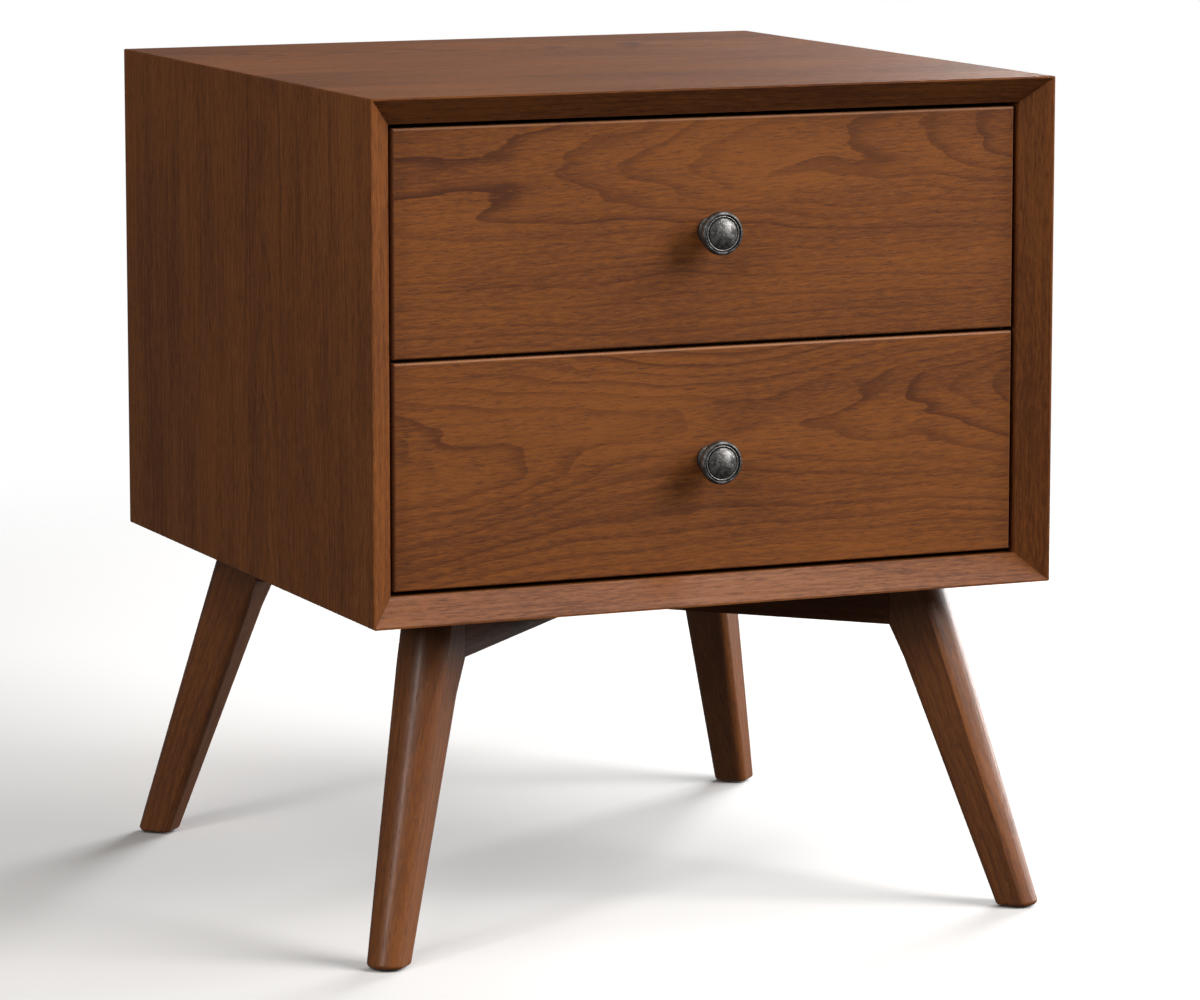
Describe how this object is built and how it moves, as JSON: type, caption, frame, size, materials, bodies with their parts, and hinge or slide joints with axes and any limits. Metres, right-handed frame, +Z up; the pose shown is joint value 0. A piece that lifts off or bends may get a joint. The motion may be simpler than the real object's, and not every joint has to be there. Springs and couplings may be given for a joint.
{
  "type": "nightstand with drawers",
  "caption": "Square bedside table with a mitred case, bevelled front frame, inset drawers on ball-bearing slides, ring-faced knobs and a crossed-rail base with splayed legs.",
  "frame": {"origin": "on the floor, under the middle of the whole object's bounding box", "axes": "+Z up, +X to the right seen from the front, -Y towards the person in front of the drawers"},
  "size_m": [0.56, 0.5666, 0.65],
  "materials": {
    "case_wood": "satin walnut-brown stain, horizontal grain",
    "front_wood": "satin walnut-brown stain, cathedral grain",
    "base_wood": "satin dark walnut-brown stain",
    "drawer_wood": "clear-lacquered pale hardwood",
    "plywood": "clear-lacquered veneered plywood",
    "dowel_beech": "plain beech",
    "slide_steel": "zinc-plated rolled steel",
    "ball_steel": "hard steel balls in a plated strip",
    "screw_steel": "zinc-plated steel",
    "knob_pewter": "dark antiqued pewter",
    "nylon": "dark nylon"
  },
  "bodies": {
    "case": {"top_panel": "case_wood", "bottom_panel": "case_wood", "left_side_panel": "case_wood", "right_side_panel": "case_wood", "back_panel": "plywood", "back_panel_screws": "screw_steel", "corner_dowels": "dowel_beech", "divider_rail": "drawer_wood", "divider_dowels": "dowel_beech", "cross_rail_upper_lap": "base_wood", "cross_rail_lower_lap": "base_wood", "front_left_leg": "base_wood", "front_right_leg": "base_wood", "back_left_leg": "base_wood", "back_right_leg": "base_wood", "front_left_glide": "nylon", "front_right_glide": "nylon", "back_left_glide": "nylon", "back_right_glide": "nylon", "leg_dowels": "dowel_beech", "base_screws": "screw_steel", "upper_left_cabinet_member": "slide_steel", "upper_right_cabinet_member": "slide_steel", "lower_left_cabinet_member": "slide_steel", "lower_right_cabinet_member": "slide_steel", "cabinet_slide_screws": "screw_steel"},
    "upper_middle_members": {"upper_left_middle_member": "slide_steel", "upper_right_middle_member": "slide_steel", "upper_ball_cages": "ball_steel"},
    "lower_middle_members": {"lower_left_middle_member": "slide_steel", "lower_right_middle_member": "slide_steel", "lower_ball_cages": "ball_steel"},
    "upper_drawer": {"upper_drawer_front": "front_wood", "upper_drawer_inner_front": "drawer_wood", "upper_drawer_back": "drawer_wood", "upper_drawer_left_side": "drawer_wood", "upper_drawer_right_side": "drawer_wood", "upper_drawer_bottom": "plywood", "upper_drawer_front_screws": "screw_steel", "upper_drawer_slide_screws": "screw_steel", "upper_left_drawer_member": "slide_steel", "upper_right_drawer_member": "slide_steel", "upper_knob": "knob_pewter", "upper_knob_screw": "screw_steel"},
    "lower_drawer": {"lower_drawer_front": "front_wood", "lower_drawer_inner_front": "drawer_wood", "lower_drawer_back": "drawer_wood", "lower_drawer_left_side": "drawer_wood", "lower_drawer_right_side": "drawer_wood", "lower_drawer_bottom": "plywood", "lower_drawer_front_screws": "screw_steel", "lower_drawer_slide_screws": "screw_steel", "lower_left_drawer_member": "slide_steel", "lower_right_drawer_member": "slide_steel", "lower_knob": "knob_pewter", "lower_knob_screw": "screw_steel"}
  },
  "joints": [
    {"name": "upper_drawer_slide", "type": "slide", "parent": "case", "child": "upper_drawer", "axis": [0, -1, 0], "range_m": [0, 0.4]},
    {"name": "upper_middle_slide", "type": "slide", "parent": "case", "child": "upper_middle_members", "axis": [0, -1, 0], "range_m": [0, 0.2]},
    {"name": "lower_drawer_slide", "type": "slide", "parent": "case", "child": "lower_drawer", "axis": [0, -1, 0], "range_m": [0, 0.4]},
    {"name": "lower_middle_slide", "type": "slide", "parent": "case", "child": "lower_middle_members", "axis": [0, -1, 0], "range_m": [0, 0.2]}
  ],
  "couplings": [
    {"joint": "upper_middle_slide", "follows": "upper_drawer_slide", "ratio": 0.5},
    {"joint": "lower_middle_slide", "follows": "lower_drawer_slide", "ratio": 0.5}
  ]
}
